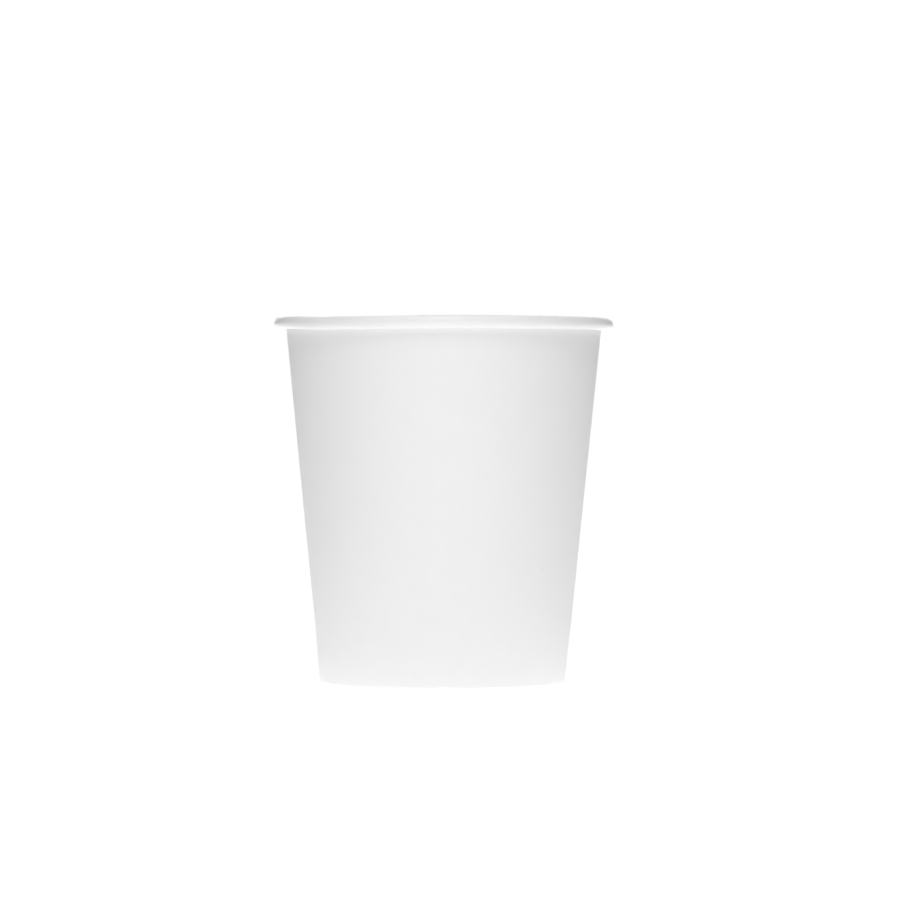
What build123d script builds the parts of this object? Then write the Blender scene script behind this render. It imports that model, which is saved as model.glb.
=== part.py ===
"""Paper cup of two blanks: a rolled side wall and a round base.

Millimetres, +Z up, the origin on the cup's axis at the level that it stands on.
The front faces -Y, and the side seam is at the back.

The side wall is one blank. Its two straight edges lap over each other and are
sealed. Its top edge is curled outward and down into the rim, and its bottom edge is
folded inward and up into a hem. The base is a disc with its edge turned down, held
in the pocket between the wall and the hem, so that the floor stands above the table.
"""

import os
from math import asin, atan2, cos, degrees, hypot, sin, tan

from build123d import *

# The cup as a whole.
rim_diameter = 73.0
foot_diameter = 52.6
cup_height = 78.5

# The card of each blank.
side_card = 0.3
base_card = 0.3

# The curled rim: its width, the play inside it, and how far its edge goes on past
# the lowest point, in degrees.
rim_curl = 2.8
curl_play = 0.03
curl_tail_angle = 150.0

# The side seam: the width of the lap at the rim, the run in which the outer edge
# climbs onto the inner one, the run in which the card settles back beside the lap,
# and the direction of the seam round the cup, in degrees from +X.
lap_width = 8.0
climb_run = 1.5
settle_run = 3.0
seam_direction = 120.0

# The foot: the hem's height up the slope of the wall, the crease inside its fold,
# and the film of seal on each side of the base's edge.
hem_height = 5.5
fold_crease = 0.05
seal_film = 0.03

# The floor: the inner radius of its turned edge, and the space between that bend and
# the top of the hem.
floor_bend = 0.5
hem_clearance = 0.5

# How much of the lap's form the climbing and the settling card has, stretch by
# stretch. The settling card takes more stretches, to follow the cup's round.
climb_shares = (0, 1)
settle_shares = (1, 0.7, 0.35, 0)

rim_radius = rim_diameter / 2
foot_radius = foot_diameter / 2
curl_radius = rim_curl / 2

# The curl's tail passes inside the curl, clear of the wall.
curl_tuck = side_card + curl_play

# The pocket takes the base's edge with a film of seal on both sides.
pocket_width = base_card + seal_film + seal_film

# The base's edge clears the bottom of the pocket at the lap, where the fold is two
# cards thick, and the floor clears the hem.
lap_card = side_card + side_card
edge_inset = side_card + seal_film
edge_level = lap_card + seal_film
floor_level = hem_height + hem_clearance + floor_bend
floor_top = floor_level + base_card

# The wall leans out from the foot so that it runs into the inner side of the curl.
reach = rim_radius - curl_radius - foot_radius
rise = cup_height - curl_radius
lean = atan2(reach, rise) - asin((curl_radius - side_card) / hypot(reach, rise))
lean_angle = degrees(lean)

# The seam's stretches round the cup, in degrees from the inner edge of the lap.
lap_angle = degrees(lap_width / rim_radius)
climb_angle = degrees(climb_run / rim_radius)
settle_angle = degrees(settle_run / rim_radius)
plain_angle = 360 - climb_angle - lap_angle - settle_angle

# Directions in the section through the axis: up the wall, and inward through it.
up_wall = Vector(sin(lean), cos(lean))
through_wall = Vector(-cos(lean), sin(lean))


def at_height(inset, level):
    """Return the point that lies inset from the wall's outer face, at a level."""
    return Vector(foot_radius + level * tan(lean) - inset / cos(lean), level)


def up_slope(inset, distance):
    """Return the point inset from the wall's outer face, a distance up its slope."""
    return Vector(foot_radius, 0) + up_wall * distance + through_wall * inset


def blank_line(depth, lap_share):
    """Draw the side blank's line at one depth below its inner face.

    The line runs down the hem, round the foot, up the wall and round the curl. Over
    the lap the crease is one card higher, and the curl fuller and tucked in further,
    to make room for the second card. Returns the two ends of the line.
    """
    crease_level = side_card + side_card * lap_share + fold_crease
    hem_centre = at_height(side_card + pocket_width - fold_crease, crease_level)
    foot_centre = at_height(side_card + fold_crease, crease_level)
    fold_radius = fold_crease + depth
    hem_fold = CenterArc(hem_centre, fold_radius, 180 - lean_angle, 90 + lean_angle)
    foot_fold = CenterArc(foot_centre, fold_radius, 270, 90 - lean_angle)

    full_curl = curl_radius + side_card / 2 * lap_share
    full_tuck = curl_tuck + side_card * lap_share
    curl_centre = at_height(side_card - full_curl, cup_height - full_curl)
    tail_centre = curl_centre - Vector(0, full_tuck)
    curl = CenterArc(curl_centre, full_curl - depth, 180 - lean_angle, lean_angle - 270)
    tail = CenterArc(tail_centre, full_curl - full_tuck - depth, 270, -curl_tail_angle)

    hem = Line(up_slope(side_card + pocket_width + depth, hem_height), hem_fold @ 0)
    Line(hem_fold @ 1, foot_fold @ 0)
    Line(foot_fold @ 1, curl @ 0)
    return hem @ 0, tail @ 1


def blank_section(turn, near, far, lap_share=0):
    """Sketch the side blank between two depths, on a plane turned round the cup.

    The turn is in degrees from the lap's inner edge. The lap's share is 0 on the
    plain wall and 1 on the lap.
    """
    with BuildSketch(Plane.XZ.rotated((0, 0, seam_direction + turn))) as section:
        with BuildLine():
            near_hem, near_tail = blank_line(near, lap_share)
            far_hem, far_tail = blank_line(far, lap_share)
            Line(near_hem, far_hem)
            Line(near_tail, far_tail)
        make_face()
    return section.sketch


def climbing_section(share):
    """Sketch the blank's outer end as it climbs onto the inner end."""
    turn = climb_angle * share - climb_angle
    lift = side_card * share
    return blank_section(turn, lift, lift + side_card, share)


def settling_section(share):
    """Sketch the blank past the lap's outer edge, as it settles to the plain wall."""
    turn = lap_angle + settle_angle - settle_angle * share
    return blank_section(turn, 0, side_card, share)


os.makedirs("parts", exist_ok=True)

# Side wall: the plain run of one card, the two cards sealed together over the lap,
# and the card between them on each side of the lap.
with BuildPart() as sidewall:
    plain = blank_section(lap_angle + settle_angle, 0, side_card)
    revolve(profiles=plain, axis=Axis.Z, revolution_arc=plain_angle)
    lap = blank_section(0, 0, lap_card, lap_share=1)
    revolve(profiles=lap, axis=Axis.Z, revolution_arc=lap_angle)
    loft(sections=[climbing_section(share) for share in climb_shares], ruled=True)
    loft(sections=[settling_section(share) for share in settle_shares], ruled=True)
sidewall.part.label = "sidewall"
export_step(sidewall.part, "parts/sidewall.step")

# Base: a disc with its edge turned down along the wall into the pocket.
with BuildPart() as base_disc:
    outer_bend = at_height(edge_inset, floor_top)
    inner_bend = at_height(edge_inset + base_card, floor_level)
    outer_edge = at_height(edge_inset, edge_level)
    inner_edge = outer_edge + through_wall * base_card
    with BuildSketch(Plane.XZ) as base_section:
        with BuildLine():
            Polyline(
                (0, floor_level),
                (0, floor_top),
                outer_bend,
                outer_edge,
                inner_edge,
                inner_bend,
                close=True,
            )
        make_face()
        corners = base_section.vertices()
        fillet(corners.sort_by_distance(inner_bend)[0], floor_bend)
        fillet(corners.sort_by_distance(outer_bend)[0], floor_bend + base_card)
    revolve(axis=Axis.Z)
base_disc.part.label = "base_disc"
export_step(base_disc.part, "parts/base_disc.step")
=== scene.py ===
"""Looks of a plain white paper cup: a rolled side wall and a round base.

Metres, +Z up, the origin on the cup's axis at the level that it stands on. The front
faces -Y, and the side seam is at the back.
"""

import logging
from collections.abc import Sequence
from dataclasses import dataclass, field
from enum import Enum
from functools import cached_property
from math import asin, atan2, cos, exp, hypot, pi, radians, sin, tan

import bpy
import numpy as np
from mathutils import Matrix, Vector


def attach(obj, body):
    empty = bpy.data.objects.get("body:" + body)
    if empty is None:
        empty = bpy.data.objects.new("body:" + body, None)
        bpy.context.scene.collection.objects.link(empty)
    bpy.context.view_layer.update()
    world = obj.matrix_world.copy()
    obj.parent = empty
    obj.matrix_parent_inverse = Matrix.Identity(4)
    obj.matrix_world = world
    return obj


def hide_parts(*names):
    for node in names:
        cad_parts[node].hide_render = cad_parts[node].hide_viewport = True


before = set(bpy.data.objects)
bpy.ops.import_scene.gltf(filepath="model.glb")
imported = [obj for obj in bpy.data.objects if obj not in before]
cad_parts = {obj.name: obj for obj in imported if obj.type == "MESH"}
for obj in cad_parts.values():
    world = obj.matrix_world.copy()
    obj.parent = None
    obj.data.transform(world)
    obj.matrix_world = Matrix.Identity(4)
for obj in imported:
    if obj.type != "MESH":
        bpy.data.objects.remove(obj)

LOG = logging.getLogger("paper_cup")
BLANK_MAP = "flat_blank"
MILLIMETRE = 0.001
SHARP_ANGLE = radians(40)
BODY = "root"

Spot = tuple[float, float]
Colour = tuple[float, float, float, float]

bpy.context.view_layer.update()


class Face(Enum):
    """The kinds of face that a blank has, numbered as its mesh's materials are."""

    COATED = 0
    UNCOATED = 1
    CUT = 2


class Level:
    """A number that varies over a surface, for use in Python expressions."""

    def __init__(self, bench: "Bench", socket: bpy.types.NodeSocket) -> None:
        """Wrap a socket.

        Args:
            bench: The tree that the socket's node stands in.
            socket: The output that gives the number.
        """
        self.bench = bench
        self.socket = socket

    def __add__(self, other: "Level | float") -> "Level":
        """Add a number or another level."""
        return self.bench.maths("ADD", self, other)

    def __sub__(self, other: "Level | float") -> "Level":
        """Take away a number or another level."""
        return self.bench.maths("SUBTRACT", self, other)

    def __rsub__(self, other: float) -> "Level":
        """Take this level from a number."""
        return self.bench.maths("SUBTRACT", other, self)

    def __mul__(self, other: "Level | float") -> "Level":
        """Multiply by a number or another level."""
        return self.bench.maths("MULTIPLY", self, other)

    __radd__ = __add__
    __rmul__ = __mul__

    def over(self, limit: float, blur: float) -> "Level":
        """Return 1 where this level is above a limit, and 0 below it.

        Args:
            limit: The level at which the result is a half.
            blur: How much the level changes while the result goes from 0 to 1.

        Returns:
            The soft step.
        """
        settings = {"interpolation_type": "SMOOTHSTEP"}
        node = self.bench.node(
            "ShaderNodeMapRange",
            settings,
            {"Value": self, "From Min": limit - blur / 2, "From Max": limit + blur / 2},
        )
        return Level(self.bench, node.outputs["Result"])


class Bench:
    """A node tree, in which one method places every node."""

    def __init__(self, tree: bpy.types.NodeTree) -> None:
        """Clear a tree and start on it.

        Args:
            tree: The tree of a material or a world.
        """
        self.tree = tree
        self.tree.nodes.clear()

    def node(
        self,
        kind: str,
        settings: dict[str, object] | None = None,
        inputs: dict[str | int, object] | None = None,
    ) -> bpy.types.Node:
        """Place a node, set it and then fill its sockets.

        Args:
            kind: The node's type, by Blender's name for it.
            settings: What the node itself is set to, such as a Math node's operation.
            inputs: A number, colour, Level or socket for each socket that is filled.

        Returns:
            The node.
        """
        node = self.tree.nodes.new(kind)
        for name, value in (settings or {}).items():
            if name == "stops":
                self.set_stops(node.color_ramp.elements, value)
            else:
                setattr(node, name, value)
        for key, value in (inputs or {}).items():
            source = value.socket if isinstance(value, Level) else value
            if isinstance(source, bpy.types.NodeSocket):
                self.tree.links.new(source, node.inputs[key])
            else:
                node.inputs[key].default_value = source
        return node

    @staticmethod
    def set_stops(
        elements: bpy.types.ColorRampElements, stops: Sequence[tuple[float, float]]
    ) -> None:
        """Set the stops of a ramp of greys.

        Args:
            elements: The ramp's stops.
            stops: The place and the brightness of each stop, in order.
        """
        while len(elements) < len(stops):
            elements.new(1.0)
        for element, (position, brightness) in zip(elements, stops):
            element.position = position
            element.color = (brightness, brightness, brightness, 1.0)

    def maths(self, operation: str, first: object, second: object) -> Level:
        """Return the result of a Math node on two numbers or levels."""
        node = self.node(
            "ShaderNodeMath", {"operation": operation}, {0: first, 1: second}
        )
        return Level(self, node.outputs[0])

    def vector(self, operation: str, *values: object) -> bpy.types.Node:
        """Place a Vector Math node on vectors and return it."""
        inputs = dict(enumerate(values))
        return self.node("ShaderNodeVectorMath", {"operation": operation}, inputs)

    def blend(self, amount: Level, first: object, second: object) -> object:
        """Return the colour between two colours.

        Args:
            amount: 0 for the first colour, 1 for the second.
            first: A colour or the socket of one.
            second: A colour or the socket of one.

        Returns:
            The socket of the blended colour.
        """
        inputs = {"Factor": amount, 6: first, 7: second}
        return self.node("ShaderNodeMix", {"data_type": "RGBA"}, inputs).outputs[2]

    def noise(self, place: object, size: float, detail: float = 2.0) -> Level:
        """Return soft noise from 0 to 1.

        Args:
            place: The socket of the coordinates, in metres.
            size: The size of its forms, in metres.
            detail: How many finer noises lie on it.

        Returns:
            The noise.
        """
        inputs = {"Vector": place, "Scale": 1 / size, "Detail": detail}
        node = self.node("ShaderNodeTexNoise", {"noise_dimensions": "3D"}, inputs)
        return Level(self, node.outputs["Fac"])


@dataclass(frozen=True)
class CardFinish:
    """One face of cup card: white fibre with a cloudy depth, bare or under a film.

    Attributes:
        name: The material's name.
        colour: The card's own colour.
        cloud_colour: The colour where the fibre lies thin.
        cloud_size: The size of the clouds, in metres.
        grain_size: The size of the finer grain in them, in metres.
        cloud_mix: The shares of the broad clouds and of the grain.
        cloud_edge: The level at which a cloud is half full, and how soft it is.
        cloud_share: How far the clouds go to their own colour.
        roughness: The roughness of the face.
        roughness_swing: How far the roughness swings over the clouds.
        ior: The index of refraction of the face.
        fibre_size: The width and the length of a fibre, in metres.
        fibre_height: How far the fibres stand up, in metres.
        fibre_lays: The directions of the two lays of fibres, in radians.
        ripple_size: The size of the film's ripple, in metres.
        ripple_height: The height of that ripple, in metres.
        speck_gap: The usual distance between two specks, in metres.
        speck_size: The size of a speck, in metres.
        speck_colour: The colour of a speck.
        flecks: Specks at known places: rows of their place across and along the
            flat blank and their radius, in metres.
    """

    name: str
    colour: Colour
    cloud_colour: Colour
    cloud_size: float = 0.0035
    grain_size: float = 0.0005
    cloud_mix: tuple[float, float] = (0.4, 0.6)
    cloud_edge: tuple[float, float] = (0.5, 0.5)
    cloud_share: float = 0.6
    roughness: float = 0.5
    roughness_swing: float = 0.08
    ior: float = 1.5
    fibre_size: tuple[float, float] = (0.0003, 0.0012)
    fibre_height: float = 0.00004
    fibre_lays: tuple[float, float] = (0.15, -0.4)
    ripple_size: float = 0.0016
    ripple_height: float = 0.000004
    speck_gap: float = 0.016
    speck_size: float = 0.00015
    speck_colour: Colour = (0.66, 0.65, 0.63, 1.0)
    flecks: tuple[tuple[float, float, float], ...] = ()

    def clouds(self, bench: Bench, place: object) -> Level:
        """Make the card's cloudy depth: broad forms with finer ones in them.

        Args:
            bench: The material's tree.
            place: The socket of the place on the flat blank, in metres.

        Returns:
            The depth, from 0 to 1.
        """
        broad_share, fine_share = self.cloud_mix
        broad = bench.noise(place, self.cloud_size)
        fine = bench.noise(place, self.grain_size, 1.0)
        return (broad * broad_share + fine * fine_share).over(*self.cloud_edge)

    def fibres(self, bench: Bench, place: object) -> Level:
        """Make the height of the felted fibres, in two lays that cross.

        Args:
            bench: The material's tree.
            place: The socket of the place on the flat blank, in metres.

        Returns:
            The height, from 0 to 1.
        """
        width, length = self.fibre_size
        scale = (1 / width, 1 / length, 1 / width)
        lays = []
        for turn in self.fibre_lays:
            inputs = {"Vector": place, "Rotation": (0.0, 0.0, turn), "Scale": scale}
            turned = bench.node("ShaderNodeMapping", {"vector_type": "POINT"}, inputs)
            lays.append(bench.noise(turned.outputs["Vector"], 1.0, 1.0))
        return (lays[0] + lays[1]) * (1 / len(lays))

    def specks(self, bench: Bench, place: object) -> Level:
        """Mark the few specks in the pulp.

        Args:
            bench: The material's tree.
            place: The socket of the place on the flat blank, in metres.

        Returns:
            1 on a speck, and 0 beside it.
        """
        inputs = {"Vector": place, "Scale": 1 / self.speck_gap}
        cells = bench.node("ShaderNodeTexVoronoi", {"feature": "F1"}, inputs)
        size = self.speck_size / self.speck_gap
        reach = Level(bench, cells.outputs["Distance"])
        found = 1 - reach.over(size, size)
        for across, along, radius in self.flecks:
            gap = bench.vector("DISTANCE", place, (across, along, 0.0))
            reach = Level(bench, gap.outputs["Value"])
            found = found + (1 - reach.over(radius, radius))
        return found

    def material(self) -> bpy.types.Material:
        """Make a material with this finish.

        Returns:
            The material.
        """
        made = bpy.data.materials.new(self.name)
        made.use_nodes = True
        bench = Bench(made.node_tree)
        place = bench.node("ShaderNodeUVMap", {"uv_map": BLANK_MAP}).outputs["UV"]
        clouds = self.clouds(bench, place)
        tone = bench.blend(clouds * self.cloud_share, self.colour, self.cloud_colour)
        tone = bench.blend(self.specks(bench, place), tone, self.speck_colour)
        roughness = clouds * self.roughness_swing + (
            self.roughness - self.roughness_swing / 2
        )
        ripple = bench.noise(place, self.ripple_size, 1.0)
        height = (
            self.fibres(bench, place) * self.fibre_height + ripple * self.ripple_height
        )
        inputs = {"Height": height * (1 / MILLIMETRE), "Distance": MILLIMETRE}
        relief = bench.node("ShaderNodeBump", None, inputs)
        card = bench.node(
            "ShaderNodeBsdfPrincipled",
            None,
            {
                "Base Color": tone,
                "Roughness": roughness,
                "IOR": self.ior,
                "Normal": relief.outputs["Normal"],
            },
        )
        bench.node(
            "ShaderNodeOutputMaterial", None, {"Surface": card.outputs["BSDF"]}
        )
        return made


BARE_CARD = CardFinish(
    name="bare_card",
    colour=(0.925, 0.925, 0.925, 1.0),
    cloud_colour=(0.905, 0.905, 0.905, 1.0),
    flecks=(
        (0.008604, 0.289447, 0.00013),
        (-0.010191, 0.275841, 0.00007),
        (-0.009212, 0.276528, 0.00005),
    ),
)
FILMED_CARD = CardFinish(
    name="filmed_card",
    colour=(0.93, 0.93, 0.93, 1.0),
    cloud_colour=(0.912, 0.912, 0.912, 1.0),
    roughness=0.31,
    roughness_swing=0.04,
    fibre_height=0.0000008,
    ripple_height=0.000005,
)
CUT_CARD = CardFinish(
    name="cut_card",
    colour=(0.9, 0.898, 0.894, 1.0),
    cloud_colour=(0.84, 0.836, 0.828, 1.0),
    cloud_size=0.0008,
    roughness=0.9,
    fibre_height=0.000012,
)
FINISHES = {Face.COATED: FILMED_CARD, Face.UNCOATED: BARE_CARD, Face.CUT: CUT_CARD}


@dataclass(frozen=True)
class Dip:
    """A place where an edge of the card is raised or pressed down.

    Attributes:
        direction: Its middle, in radians from +X.
        spread: How far round the cup it reaches, in radians.
        height: How far the edge is raised there, in metres.
    """

    direction: float
    spread: float
    height: float

    def lift(self, turn: float) -> float:
        """Return how far the edge is raised in a direction."""
        away = (turn - self.direction + pi) % (2 * pi) - pi
        return self.height * exp(-((away / self.spread) ** 2) / 2)


@dataclass(frozen=True)
class Slack:
    """The small unevenness of a rolled paper cup.

    Attributes:
        dips: The places where the rim is uneven.
        rim_level: The height at which the unevenness of the rim is full.
        fade: The height over which it fades out below that level.
        sway: How far the wall sways in and out, in metres.
        waves: Rows of how often a wave of that sway goes round the cup, its share,
            its start in radians, and how far it turns in a metre of height.
        calm_level: The height below which the wall doesn't sway.
        foot_shift: How far the crimped foot sits off the axis, in metres along X.
        foot_level: The height at which that shift has faded out.
        hem_swell: How far the wall stands out over the hem, in metres.
        hem_level: The height of the hem's top, where the swell fades out.
        hem_fade: The height over which it fades.
        crimps: The places where the foot is pressed up, and half as far in.
        crimp_level: The height over which a crimp fades out.
    """

    dips: tuple[Dip, ...]
    rim_level: float = 0.075
    fade: float = 0.02
    sway: float = 0.00006
    waves: tuple[tuple[int, float, float, float], ...] = (
        (2, 1.0, 0.4, 0.0),
        (3, 0.6, -1.1, 40.0),
        (5, 0.4, 0.8, -60.0),
    )
    calm_level: float = 0.012
    foot_shift: float = -0.0002
    foot_level: float = 0.016
    hem_swell: float = 0.00004
    hem_level: float = 0.0052
    hem_fade: float = 0.0018
    crimps: tuple[Dip, ...] = ()
    crimp_level: float = 0.003

    @staticmethod
    def ease(share: float) -> float:
        """Return a share of 0 to 1 with soft ends, from one of any size."""
        held = min(1.0, max(0.0, share))
        return held * held * (3 - 2 * held)

    def place(
        self, radius: float, level: float, turn: float
    ) -> tuple[float, float, float]:
        """Return where a point of the cup's section lies on the real card.

        Args:
            radius: The point's distance from the axis.
            level: Its height.
            turn: Its direction, in radians from +X.

        Returns:
            Its place.
        """
        lift = sum(dip.lift(turn) for dip in self.dips)
        lift *= self.ease(1 - (self.rim_level - level) / self.fade)
        sway = sum(
            share * sin(count * turn + start + level * twist)
            for count, share, start, twist in self.waves
        )
        sway *= self.sway * self.ease((level - self.calm_level) / self.fade)
        swell = self.hem_swell * self.ease((self.hem_level - level) / self.hem_fade + 1)
        shift = self.foot_shift * self.ease(1 - level / self.foot_level)
        press = sum(crimp.lift(turn) for crimp in self.crimps)
        press *= self.ease(1 - level / self.crimp_level)
        reach = radius + sway + swell - press / 2
        return reach * cos(turn) + shift, reach * sin(turn), level + lift + press


@dataclass(frozen=True)
class CardSection:
    """The sizes of the two blanks, and lines in the section through the cup's axis.

    Every size is the one that the solid has. Points are (radius, height).
    """

    rim_diameter: float = 0.073
    foot_diameter: float = 0.0526
    cup_height: float = 0.0785
    side_card: float = 0.0003
    base_card: float = 0.0003
    rim_curl: float = 0.0028
    curl_play: float = 0.00003
    curl_tail_angle: float = radians(150)
    hem_height: float = 0.0055
    fold_crease: float = 0.00005
    seal_film: float = 0.00003
    floor_bend: float = 0.0005
    hem_clearance: float = 0.0005

    @cached_property
    def curl_radius(self) -> float:
        """The radius of the rolled rim's section."""
        return self.rim_curl / 2

    @cached_property
    def foot_radius(self) -> float:
        """The radius of the wall's outer face at the level that the cup stands on."""
        return self.foot_diameter / 2

    @cached_property
    def lean(self) -> float:
        """The angle by which the wall leans out, in radians."""
        reach = self.rim_diameter / 2 - self.curl_radius - self.foot_radius
        rise = self.cup_height - self.curl_radius
        inner = self.curl_radius - self.side_card
        return atan2(reach, rise) - asin(inner / hypot(reach, rise))

    @cached_property
    def through_wall(self) -> np.ndarray:
        """The direction inward through the wall."""
        return np.array((-cos(self.lean), sin(self.lean)))

    @cached_property
    def pocket_width(self) -> float:
        """The width of the pocket that takes the base's edge."""
        return self.base_card + 2 * self.seal_film

    def at_height(self, inset: float, level: float) -> np.ndarray:
        """Return the point inset from the wall's outer face, at a level."""
        lean = self.lean
        return np.array(
            (self.foot_radius + level * tan(lean) - inset / cos(lean), level)
        )

    def up_slope(self, inset: float, distance: float) -> np.ndarray:
        """Return a point beside the wall.

        Args:
            inset: How far inward it lies from the wall's outer face.
            distance: How far up the wall's slope it lies.

        Returns:
            The point.
        """
        foot = np.array((self.foot_radius, 0.0))
        up_wall = np.array((sin(self.lean), cos(self.lean)))
        return foot + up_wall * distance + self.through_wall * inset

    @staticmethod
    def arc(
        centre: np.ndarray, radius: float, start: float, sweep: float, steps: int
    ) -> np.ndarray:
        """Return the points of an arc, both ends included.

        Args:
            centre: The arc's centre.
            radius: Its radius.
            start: The direction of its first point, in radians.
            sweep: The angle that it covers, counted as the start is.
            steps: How many stretches it is divided into.

        Returns:
            An array of points.
        """
        angles = start + sweep * np.linspace(0.0, 1.0, steps + 1)
        ring = np.stack((np.cos(angles), np.sin(angles)), axis=1)
        return centre + radius * ring

    @staticmethod
    def run(start: np.ndarray, end: np.ndarray, steps: int) -> np.ndarray:
        """Return the points of a straight line, both ends included."""
        shares = np.linspace(0.0, 1.0, steps + 1)[:, None]
        return start + (end - start) * shares

    @staticmethod
    def travel(line: np.ndarray) -> np.ndarray:
        """Return how far along a line each of its points is."""
        lengths = np.linalg.norm(np.diff(line, axis=0), axis=1)
        return np.concatenate(((0.0,), np.cumsum(lengths)))


@dataclass
class Piece:
    """A mesh of the cup that stands for a solid of the frame.

    Attributes:
        name: The piece's name.
        node: The solid that it stands for.
        slot: The record's slot that its finish belongs to. It is not used.
        points: The mesh's points.
        faces: Its faces, as rows of point numbers.
        spots: For each face, its corners' places on the flat blank.
        kinds: The kind of each face.
    """

    name: str
    node: str
    slot: str
    points: list[tuple[float, float, float]] = field(default_factory=list)
    faces: list[tuple[int, ...]] = field(default_factory=list)
    spots: list[tuple[Spot, ...]] = field(default_factory=list)
    kinds: list[int] = field(default_factory=list)

    def lay(self, line: np.ndarray, turn: float, slack: Slack) -> list[int]:
        """Add a line of the section where it lies on the real card.

        Args:
            line: The line's points.
            turn: Its direction, in radians from +X.
            slack: The cup's unevenness.

        Returns:
            The points' numbers.
        """
        first = len(self.points)
        for radius, level in line.tolist():
            self.points.append(slack.place(radius, level, turn))
        return list(range(first, len(self.points)))

    def add_face(
        self, kind: Face, corners: Sequence[int], spots: Sequence[Spot]
    ) -> None:
        """Add a face.

        Args:
            kind: The kind of face.
            corners: Its points' numbers, counter-clockwise as seen from outside.
            spots: The corners' places on the flat blank.
        """
        self.faces.append(tuple(corners))
        self.spots.append(tuple(spots))
        self.kinds.append(kind.value)

    def add_band(
        self,
        kind: Face,
        lines: Sequence[Sequence[int]],
        spots: Sequence[Sequence[Spot]],
    ) -> None:
        """Add the faces between two lines of points.

        Args:
            kind: The kind of the faces.
            lines: The numbers of both lines' points. Seen from outside with the lines
                running up, the first is on the right.
            spots: The places of both lines' points on the flat blank.
        """
        for row in range(len(lines[0]) - 1):
            corners, places = (
                (one[row], one[row + 1], other[row + 1], other[row])
                for one, other in (lines, spots)
            )
            self.add_face(kind, corners, places)

    def make(self) -> bpy.types.Object:
        """Make the object from the points and faces, and tie it to the frame.

        Returns:
            The object, dressed and riding on the cup's body.
        """
        mesh = bpy.data.meshes.new(self.name)
        mesh.from_pydata(self.points, [], self.faces)
        layer = mesh.uv_layers.new(name=BLANK_MAP)
        flat = [value for spots in self.spots for spot in spots for value in spot]
        layer.uv.foreach_set("vector", flat)
        for face in Face:
            known = bpy.data.materials.get(FINISHES[face].name)
            mesh.materials.append(known or FINISHES[face].material())
        mesh.polygons.foreach_set("material_index", self.kinds)
        mesh.polygons.foreach_set("use_smooth", [True] * len(self.faces))
        mesh.set_sharp_from_angle(angle=SHARP_ANGLE)
        mesh.validate(verbose=True)
        mesh.update()
        made = bpy.data.objects.new(self.name, mesh)
        bpy.context.scene.collection.objects.link(made)
        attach(made, BODY)
        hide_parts(self.node)
        return made


@dataclass(frozen=True)
class Column:
    """The side blank's section in one direction round the cup.

    Attributes:
        turn: The direction, in radians from the inner edge of the lap.
        near: The depth at which the card begins, under the wall's inner face.
        far: The depth at which it ends.
        lap_share: How much of the lap's form the section has.
    """

    turn: float
    near: float
    far: float
    lap_share: float = 0.0


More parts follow.
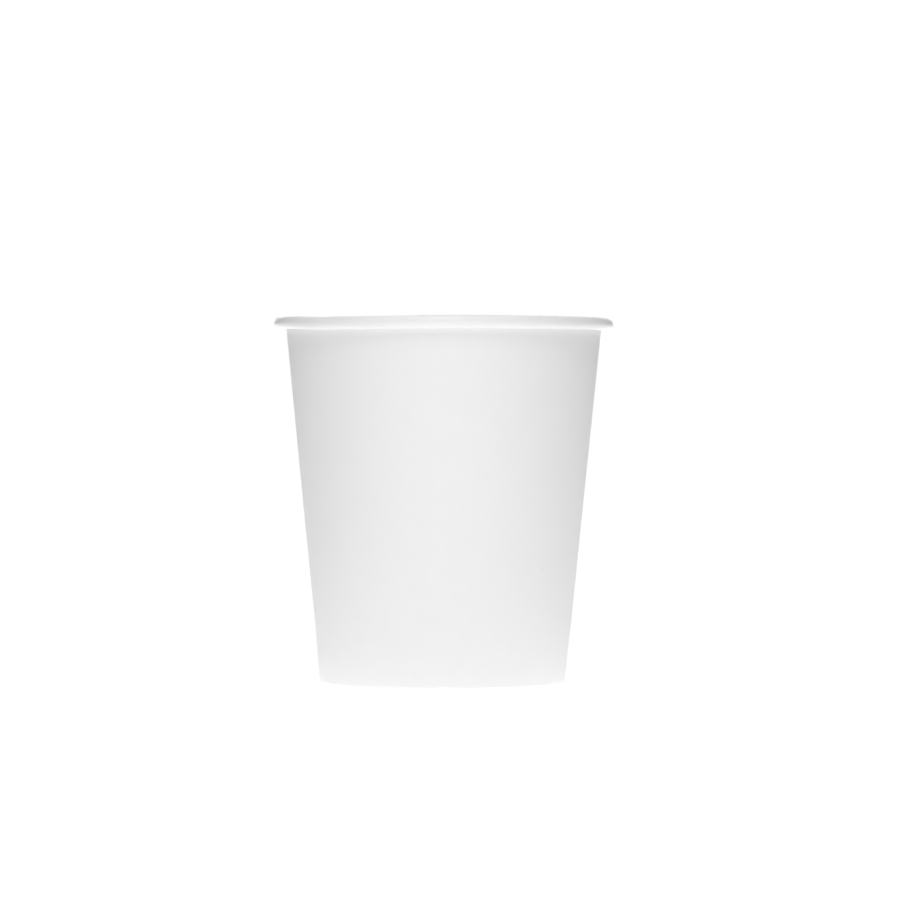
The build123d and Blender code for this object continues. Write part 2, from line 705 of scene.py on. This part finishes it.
@dataclass
class SideWall:
    """The side blank: a wall with a lapped seam, a rolled rim and a folded hem.

    Attributes:
        section: The cup's section.
        slack: The cup's unevenness.
        lap_width: The width of the lap at the rim.
        climb_run: The run in which the outer edge climbs onto the inner one.
        settle_run: The run in which the card settles back beside the lap.
        seam_direction: The direction of the seam round the cup, in radians from +X.
        settle_steps: How many stretches the settling card has.
        climb_steps: How many stretches the climbing card has.
        steps: How many stretches the hem, a fold, the wall, the curl and its tail have.
        columns: How many columns the plain run has.
        lap_columns: How many columns the lap has.
        knurls: How many ridges the hem has all round.
        knurl_depth: How deep the grooves between them are.
        knurl_margin: How far the ridges stay clear of the hem's top and bottom.
    """

    section: CardSection
    slack: Slack
    lap_width: float = 0.008
    climb_run: float = 0.0015
    settle_run: float = 0.003
    seam_direction: float = radians(120)
    settle_steps: int = 9
    climb_steps: int = 9
    steps: tuple[int, int, int, int, int] = (8, 5, 30, 28, 10)
    columns: int = 510
    lap_columns: int = 20
    knurls: int = 102
    knurl_depth: float = 0.00007
    knurl_margin: float = 0.0009

    def line(self, depth: float, lap_share: float) -> np.ndarray:
        """Return the blank's line at one depth below its inner face.

        The line runs down the hem, round the foot, up the wall and round the curl.

        Args:
            depth: The depth under the wall's inner face.
            lap_share: 0 on the plain wall and 1 on the lap.

        Returns:
            The line's points in the section.
        """
        cut = self.section
        card, lean = cut.side_card, cut.lean
        hem_steps, fold_steps, wall_steps, curl_steps, tail_steps = self.steps
        crease_level = card + card * lap_share + cut.fold_crease
        hem_centre = cut.at_height(
            card + cut.pocket_width - cut.fold_crease, crease_level
        )
        foot_centre = cut.at_height(card + cut.fold_crease, crease_level)
        fold = cut.fold_crease + depth
        quarter = pi / 2
        hem_fold = cut.arc(hem_centre, fold, pi - lean, quarter + lean, fold_steps)
        foot_fold = cut.arc(foot_centre, fold, 3 * quarter, quarter - lean, fold_steps)

        full_curl = cut.curl_radius + card / 2 * lap_share
        full_tuck = card + cut.curl_play + card * lap_share
        curl_centre = cut.at_height(card - full_curl, cut.cup_height - full_curl)
        curl = cut.arc(
            curl_centre, full_curl - depth, pi - lean, lean - 3 * quarter, curl_steps
        )
        tail = cut.arc(
            curl_centre - np.array((0.0, full_tuck)),
            full_curl - full_tuck - depth,
            3 * quarter,
            -cut.curl_tail_angle,
            tail_steps,
        )
        hem_top = cut.up_slope(card + cut.pocket_width + depth, cut.hem_height)
        hem = cut.run(hem_top, hem_fold[0], hem_steps)
        wall = cut.run(foot_fold[-1], curl[0], wall_steps)
        runs = (hem[:-1], hem_fold, foot_fold, wall[1:], curl[1:], tail[1:])
        return np.concatenate(runs)

    @cached_property
    def reach(self) -> np.ndarray:
        """How far each point of a line lies from the centre of the flat blank."""
        cut = self.section
        along = cut.travel(self.line(cut.side_card / 2, 0.0))
        hem_steps, fold_steps = self.steps[:2]
        foot = along[hem_steps + 2 * fold_steps + 1]
        return cut.foot_radius / sin(cut.lean) + (along - foot)

    @cached_property
    def angles(self) -> tuple[float, float, float]:
        """The angles of the lap, of the climb and of the settling card."""
        radius = self.section.rim_diameter / 2
        runs = (self.lap_width, self.climb_run, self.settle_run)
        lap, climb, settle = (run / radius for run in runs)
        return lap, climb, settle

    def layout(self) -> list[Column]:
        """Lay out the columns, once round from the lap's inner edge.

        Returns:
            The columns, with two at each edge of the lap.
        """
        card = self.section.side_card
        lap, climb, settle = self.angles
        found = []
        for share in np.linspace(0.0, 1.0, self.lap_columns + 1):
            found.append(Column(lap * share, 0.0, 2 * card, 1.0))
        for passed in np.linspace(0.0, 1.0, self.settle_steps + 1):
            turn = lap + settle * passed
            found.append(Column(turn, 0.0, card, 1 - Slack.ease(passed)))
        start, end = lap + settle, 2 * pi - climb
        for share in np.linspace(0.0, 1.0, self.columns + 1)[1:]:
            found.append(Column(start + (end - start) * share, 0.0, card))
        for passed in np.linspace(0.0, 1.0, self.climb_steps + 1)[1:]:
            turn = end + climb * passed
            share = Slack.ease(passed)
            found.append(Column(turn, card * share, card + card * share, share))
        return found

    def knurled(self, line: np.ndarray, turn: float) -> np.ndarray:
        """Press the hem's ridges into the far side of a line.

        Args:
            line: The far line of a column.
            turn: The column's direction, in radians from the lap's inner edge.

        Returns:
            The line with its hem pressed in between the ridges.
        """
        hem = line[: self.steps[0] + 1]
        levels = hem[:, 1]
        inside = np.minimum(levels[0] - levels, levels - levels[-1])
        share = np.clip(inside / self.knurl_margin, 0.0, 1.0)
        groove = (0.5 - 0.5 * cos(self.knurls * turn)) ** 2
        push = self.knurl_depth * groove * share
        pressed = line.copy()
        pressed[: len(hem)] -= push[:, None] * self.section.through_wall
        return pressed

    def spots(self, turn: float) -> list[Spot]:
        """Return a line's places on the flat blank, which is part of a flat ring.

        Args:
            turn: How far round the blank the line is, in radians of the cup.

        Returns:
            The place of each point of the line, in metres.
        """
        opening = (turn - pi) * sin(self.section.lean)
        return [
            (distance * sin(opening), distance * cos(opening))
            for distance in self.reach.tolist()
        ]

    def lay_lines(
        self, piece: Piece, layout: list[Column]
    ) -> tuple[list[list[int]], list[list[int]]]:
        """Lay both faces of the card, line by line.

        Where one card lies on the other at an edge of the lap, its two columns share
        a line.

        Args:
            piece: The piece to add to.
            layout: The columns.

        Returns:
            The point numbers of each column's line on the inner face, and the same
            on the outer face.
        """
        near: list[list[int]] = []
        far: list[list[int]] = []
        for number, column in enumerate(layout):
            turn = self.seam_direction + column.turn
            if number == self.lap_columns + 1:
                near.append(near[-1])
            else:
                line = self.line(column.near, column.lap_share)
                near.append(piece.lay(line, turn, self.slack))
            if number == len(layout) - 1:
                far.append(far[0])
            else:
                line = self.knurled(
                    self.line(column.far, column.lap_share), column.turn
                )
                far.append(piece.lay(line, turn, self.slack))
        return near, far

    def build(self) -> bpy.types.Object:
        """Build the wall and dress it.

        Returns:
            The finished piece.
        """
        piece = Piece("rolled_sidewall", "sidewall", "sidewall_card")
        layout = self.layout()
        near, far = self.lay_lines(piece, layout)
        lap_end = self.lap_columns
        middle = self.line(self.section.side_card, 1.0)[[0, -1]]
        between = [near[-1]]
        for column in layout[1:lap_end]:
            turn = self.seam_direction + column.turn
            between.append(piece.lay(middle, turn, self.slack))
        between.append(far[lap_end + 1])

        inner_edge = self.spots(layout[-1].turn)
        outer_edge = self.spots(layout[lap_end].turn)
        piece.add_band(Face.CUT, (near[-1], near[0]), (inner_edge, inner_edge))
        piece.add_band(
            Face.CUT, (far[lap_end + 1], far[lap_end]), (outer_edge, outer_edge)
        )
        for number in range(len(layout) - 1):
            if number == lap_end:
                continue
            on_lap = number < lap_end
            turn, next_turn = layout[number].turn, layout[number + 1].turn
            here, there = self.spots(turn), self.spots(next_turn)
            lines = near[number], near[number + 1]
            piece.add_band(Face.COATED, lines, (here, there))
            wrap = 2 * pi if on_lap else 0.0
            lines = far[number + 1], far[number]
            spots = self.spots(next_turn + wrap), self.spots(turn + wrap)
            piece.add_band(Face.UNCOATED, lines, spots)
            layers = (near, between, far) if on_lap else (near, far)
            for end in (0, -1):
                edges = [(lay[number][end], lay[number + 1][end]) for lay in layers]
                if end == -1:
                    edges.reverse()
                spots = here[end], there[end]
                for lines in zip(edges, edges[1:]):
                    piece.add_band(Face.CUT, lines, (spots, spots))
        return piece.make()


@dataclass
class BaseDisc:
    """The base: a disc of card with its edge turned down into the pocket.

    Attributes:
        section: The cup's section.
        slack: The cup's unevenness.
        columns: How many columns it has.
        steps: How many stretches the floor, the bend and the turned edge have.
        pleats: How many faint pleats the floor has beside its bend.
        pleat_depth: How deep they are.
        pleat_run: How far they reach in from the bend.
        pleat_stray: How often they stray from an even spacing round the cup, and how
            far, in radians of their wave.
    """

    section: CardSection
    slack: Slack
    columns: int = 288
    steps: tuple[int, int, int] = (14, 6, 6)
    pleats: int = 72
    pleat_depth: float = 0.00005
    pleat_run: float = 0.003
    pleat_stray: tuple[int, float] = (5, 3.0)

    def line(self, face: Face) -> np.ndarray:
        """Return the line of one face of the disc, from beside the axis outward.

        Args:
            face: The coated face, which is the floor's upper one and the outer one of
                the turned edge, or the uncoated face.

        Returns:
            The line's points in the section.
        """
        cut = self.section
        floor_steps, bend_steps, edge_steps = self.steps
        inset = cut.side_card + cut.seal_film
        edge = cut.at_height(inset, 2 * cut.side_card + cut.seal_film)
        level = cut.hem_height + cut.hem_clearance + cut.floor_bend
        radius = cut.floor_bend
        if face is Face.COATED:
            level, radius = level + cut.base_card, radius + cut.base_card
        else:
            edge = edge + cut.through_wall * cut.base_card
            inset = inset + cut.base_card
        corner = cut.at_height(inset, level)
        sweep = pi / 2 + cut.lean
        setback = radius * tan(sweep / 2)
        centre = np.array((corner[0] - setback, level - radius))
        bend = cut.arc(centre, radius, pi / 2, -sweep, bend_steps)
        floor = cut.run(np.array((0.0, level)), bend[0], floor_steps)
        side = cut.run(bend[-1], edge, edge_steps)
        return np.concatenate((floor[1:-1], bend, side[1:]))

    def pleated(self, line: np.ndarray, turn: float) -> np.ndarray:
        """Sink the floor's pleats into a line.

        Args:
            line: The line of a face.
            turn: Its direction, in radians from +X.

        Returns:
            The line with the pleats that pass there.
        """
        cut = self.section
        bend_start = cut.foot_radius - cut.floor_bend - cut.base_card
        inside = (bend_start - line[:, 0]) / self.pleat_run
        share = np.maximum(0.0, 1 - np.abs(inside * 2 - 1))
        strays, stray = self.pleat_stray
        wave = 0.5 - 0.5 * cos(self.pleats * turn + stray * sin(strays * turn))
        sunk = line.copy()
        sunk[:, 1] -= self.pleat_depth * share * wave
        return sunk

    def spots(self, line: np.ndarray, turn: float) -> list[Spot]:
        """Return the places of a line's points on the flat disc.

        Args:
            line: The line of a face.
            turn: Its direction, in radians from +X.

        Returns:
            The place of each point, in metres.
        """
        reach = line[0, 0] + self.section.travel(line)
        return [
            (distance * cos(turn), distance * sin(turn)) for distance in reach.tolist()
        ]

    def build(self) -> bpy.types.Object:
        """Build the base and dress it.

        Returns:
            The finished piece.
        """
        piece = Piece("turned_base", "base_disc", "base_card")
        kinds = (Face.COATED, Face.UNCOATED)
        lines = [self.line(kind) for kind in kinds]
        # The first two points are the centres of the two faces.
        piece.points += [(0.0, 0.0, float(line[0, 1])) for line in lines]
        turns = [2 * pi * number / self.columns for number in range(self.columns)]
        rings = [
            [piece.lay(self.pleated(line, turn), turn, self.slack) for line in lines]
            for turn in turns
        ]
        centre = (0.0, 0.0)
        for number in range(self.columns):
            following = (number + 1) % self.columns
            for side, kind in enumerate(kinds):
                pair = (number, following) if side == 0 else (following, number)
                numbers = [rings[place][side] for place in pair]
                spots = [self.spots(lines[side], turns[place]) for place in pair]
                corners = (side, numbers[0][0], numbers[1][0])
                piece.add_face(kind, corners, (centre, spots[0][0], spots[1][0]))
                piece.add_band(kind, numbers, spots)
            pair = (number, following)
            edge = [[line[-1] for line in rings[place]] for place in pair]
            spots = [[self.spots(lines[0], turns[place])[-1]] * 2 for place in pair]
            piece.add_band(Face.CUT, edge, spots)
        return piece.make()


@dataclass(frozen=True)
class Lamp:
    """A soft lamp of the studio, which faces the cup and which the camera doesn't see.

    Attributes:
        name: What it is called.
        bearing: Its direction round the cup, in degrees from +X.
        elevation: Its height above the floor, in degrees as the cup sees it.
        spread: Its width and height, in degrees as the cup sees it.
        brightness: The brightness of its face, where 1 is white.
        distance: How far it stands from the cup.
    """

    name: str
    bearing: float
    elevation: float
    spread: tuple[float, float]
    brightness: float
    distance: float = 1.5

    def light(self) -> bpy.types.Object:
        """Hang the lamp.

        Returns:
            The lamp.
        """
        data = bpy.data.lights.new(self.name, "AREA")
        data.shape = "RECTANGLE"
        width, height = (
            2 * self.distance * tan(radians(angle / 2)) for angle in self.spread
        )
        data.size, data.size_y = width, height
        # The face of a lamp is as bright as its power over pi times its area.
        data.energy = self.brightness * width * height * pi
        made = bpy.data.objects.new(self.name, data)
        turn, rise = radians(self.bearing), radians(self.elevation)
        towards = Vector((cos(rise) * cos(turn), cos(rise) * sin(turn), sin(rise)))
        facing = towards.to_track_quat("Z", "Y").to_matrix().to_4x4()
        made.matrix_world = Matrix.Translation(towards * self.distance) @ facing
        made.visible_camera = False
        bpy.context.scene.collection.objects.link(made)
        return made


@dataclass(frozen=True)
class Floor:
    """The studio's floor: a round sheet of white, which shines near the cup.

    Attributes:
        radius: How far it reaches.
        glow: How brightly it shines of itself: rows of a distance from the cup's
            axis, the brightness before and behind the cup, and that beside it.
        colour: Its colour to the light that falls on it.
        roughness: Its roughness.
        look: How bright it looks to the camera, where 1 is white.
        rings: Where its rings of faces end.
        sectors: How many faces each ring has.
    """

    radius: float = 3.0
    glow: tuple[tuple[float, float, float], ...] = (
        (0.0, 0.4, 0.6),
        (0.03, 0.62, 0.82),
        (0.042, 0.55, 0.72),
        (0.1, 0.48, 0.46),
        (0.2, 0.8, 0.0),
        (0.35, 1.1, 0.0),
        (0.6, 1.25, 0.0),
        (1.2, 0.0, 0.0),
    )
    colour: Colour = (0.8, 0.8, 0.8, 1.0)
    roughness: float = 0.9
    look: float = 1.02
    rings: tuple[float, ...] = (0.05, 0.1, 0.25, 0.6)
    sectors: int = 96

    def paint(self) -> bpy.types.Material:
        """Make the floor's material.

        Returns:
            The material.
        """
        made = bpy.data.materials.new("white_floor")
        made.use_nodes = True
        bench = Bench(made.node_tree)
        place = bench.node("ShaderNodeTexCoord").outputs["Object"]
        length = bench.vector("LENGTH", place).outputs["Value"]
        lit_radius = self.glow[-1][0]
        reach = Level(bench, length) * (1 / lit_radius)
        towards = bench.vector("NORMALIZE", place).outputs["Vector"]
        split = bench.node("ShaderNodeSeparateXYZ", None, {"Vector": towards})
        sideways = Level(bench, split.outputs["X"])
        ramps = []
        for column in (1, 2):
            stops = [(row[0] / lit_radius, row[column]) for row in self.glow]
            ramp = bench.node("ShaderNodeValToRGB", {"stops": stops}, {"Fac": reach})
            ramps.append(ramp.outputs["Color"])
        glow = bench.blend(sideways * sideways, *ramps)
        white = bench.node(
            "ShaderNodeBsdfPrincipled",
            None,
            {
                "Base Color": self.colour,
                "Roughness": self.roughness,
                "Specular IOR Level": 0.0,
                "Emission Color": glow,
                "Emission Strength": 1.0,
            },
        )
        look = bench.node("ShaderNodeEmission", None, {"Strength": self.look})
        seen = bench.node("ShaderNodeLightPath").outputs["Is Camera Ray"]
        both = bench.node(
            "ShaderNodeMixShader",
            None,
            {0: seen, 1: white.outputs["BSDF"], 2: look.outputs["Emission"]},
        )
        bench.node("ShaderNodeOutputMaterial", None, {"Surface": both.outputs[0]})
        return made

    def lay(self) -> bpy.types.Object:
        """Lay the floor.

        Returns:
            The floor.
        """
        points = [(0.0, 0.0, 0.0)]
        faces = []
        count = self.sectors
        for radius in (*self.rings, self.radius):
            for number in range(count):
                turn = 2 * pi * number / count
                points.append((radius * cos(turn), radius * sin(turn), 0.0))
        for number in range(count):
            following = (number + 1) % count
            faces.append((0, 1 + number, 1 + following))
            for ring in range(len(self.rings)):
                low, high = 1 + ring * count, 1 + (ring + 1) * count
                faces.append(
                    (low + number, high + number, high + following, low + following)
                )
        mesh = bpy.data.meshes.new("white_floor")
        mesh.from_pydata(points, [], faces)
        mesh.materials.append(self.paint())
        made = bpy.data.objects.new("white_floor", mesh)
        bpy.context.scene.collection.objects.link(made)
        return made


@dataclass(frozen=True)
class Studio:
    """A white room with a white floor and soft lamps.

    Attributes:
        floor: The floor.
        lamps: The lamps.
        air: How much light comes from all round, where 1 is white.
        depth: How much more comes from the front, and how much less from behind.
        look: How bright the room looks to the camera, where 1 is white.
    """

    floor: Floor
    lamps: tuple[Lamp, ...]
    air: float = 0.207
    depth: float = 0.14
    look: float = 1.02

    def fill_air(self) -> bpy.types.World:
        """Give the world a white look and a weaker light.

        Returns:
            The world.
        """
        world = bpy.data.worlds.new("white_room")
        world.use_nodes = True
        bpy.context.scene.world = world
        bench = Bench(world.node_tree)
        seen = Level(bench, bench.node("ShaderNodeLightPath").outputs["Is Camera Ray"])
        towards = bench.node("ShaderNodeTexCoord").outputs["Generated"]
        split = bench.node("ShaderNodeSeparateXYZ", None, {"Vector": towards})
        air = self.air - Level(bench, split.outputs["Y"]) * self.depth
        strength = seen * (self.look - air) + air
        white = bench.node(
            "ShaderNodeBackground",
            None,
            {"Color": (1.0, 1.0, 1.0, 1.0), "Strength": strength},
        )
        bench.node(
            "ShaderNodeOutputWorld", None, {"Surface": white.outputs["Background"]}
        )
        return world

    def build(self) -> None:
        """Build the room and light it."""
        view = bpy.context.scene.view_settings
        view.view_transform = "Standard"
        view.look = "None"
        self.fill_air()
        self.floor.lay()
        for lamp in self.lamps:
            lamp.light()


@dataclass(frozen=True)
class Viewpoint:
    """The camera that took the photograph, as its outlines give it.

    Attributes:
        distance: How far it stands from the cup's axis.
        height: Its height above the floor.
        focal: Its focal length in pixels of the photograph.
        pitch: How far it looks down, in radians.
        yaw: How far it looks to the right of the cup's axis, in radians.
        roll: How far it is turned about its own line of sight, in radians.
        frame_size: The photograph's width and height in pixels.
        sensor: The width of its sensor, in millimetres.
    """

    distance: float = 1.0984
    height: float = 0.05718
    focal: float = 5098.1
    pitch: float = 0.00643
    yaw: float = 0.0013
    roll: float = 0.00117
    frame_size: int = 900
    sensor: float = 36.0

    def place(self) -> bpy.types.Object:
        """Place the camera and make it the scene's.

        Returns:
            The camera.
        """
        data = bpy.data.cameras.new("photo_camera")
        data.sensor_width = self.sensor
        data.lens = self.focal / self.frame_size * self.sensor
        camera = bpy.data.objects.new("photo_camera", data)
        turn = (
            Matrix.Rotation(-self.yaw, 4, "Z")
            @ Matrix.Rotation(pi / 2 - self.pitch, 4, "X")
            @ Matrix.Rotation(self.roll, 4, "Z")
        )
        place = Vector((0.0, -self.distance, self.height))
        camera.matrix_world = Matrix.Translation(place) @ turn
        bpy.context.scene.collection.objects.link(camera)
        bpy.context.scene.camera = camera
        return camera


RIM_DIPS = (
    Dip(radians(-176), radians(16), 0.00028),
    Dip(radians(-158), radians(10), 0.00008),
    Dip(radians(-148), radians(6), 0.00006),
    Dip(radians(-138), radians(8), -0.00014),
    Dip(radians(-115), radians(10), -0.00014),
    Dip(radians(-70), radians(30), 0.00008),
    Dip(radians(-20), radians(14), 0.00008),
    Dip(radians(30), radians(14), -0.00012),
    Dip(radians(80), radians(20), 0.00008),
    Dip(radians(165), radians(16), -0.00008),
)

FOOT_CRIMPS = (
    Dip(radians(-168), radians(6), 0.00022),
    Dip(radians(-126), radians(3), 0.00009),
    Dip(radians(-87), radians(4), 0.0001),
    Dip(radians(-66), radians(2.5), 0.00008),
    Dip(radians(-23), radians(5), 0.00014),
    Dip(radians(41), radians(5), 0.0001),
    Dip(radians(86), radians(8), 0.00008),
    Dip(radians(148), radians(6), 0.0001),
)

LAMPS = (
    Lamp("front_high", -90, 50, (20, 24), 4.2),
    Lamp("left_front_high", -120, 50, (20, 24), 0.5),
    Lamp("right_front_high", -60, 50, (20, 24), 0.4),
    Lamp("backdrop", 90, 14, (36, 50), 1.5),
    Lamp("top", -90, 90, (56, 56), 1.25),
)


def main() -> None:
    """Build the cup and its studio, and report each piece."""
    logging.basicConfig(level=logging.INFO, format="%(name)s: %(message)s")
    section = CardSection()
    slack = Slack(RIM_DIPS, crimps=FOOT_CRIMPS)
    for maker in (SideWall(section, slack), BaseDisc(section, slack)):
        made = maker.build()
        sizes = len(made.data.vertices), len(made.data.polygons)
        LOG.info("%s has %d points and %d faces", made.name, *sizes)
    Studio(Floor(), LAMPS).build()
    LOG.info("the studio has %d lamps", len(LAMPS))
    camera = Viewpoint().place()
    LOG.info("%s has a lens of %.1f mm", camera.name, camera.data.lens)


if __name__ == "__main__":
    main()
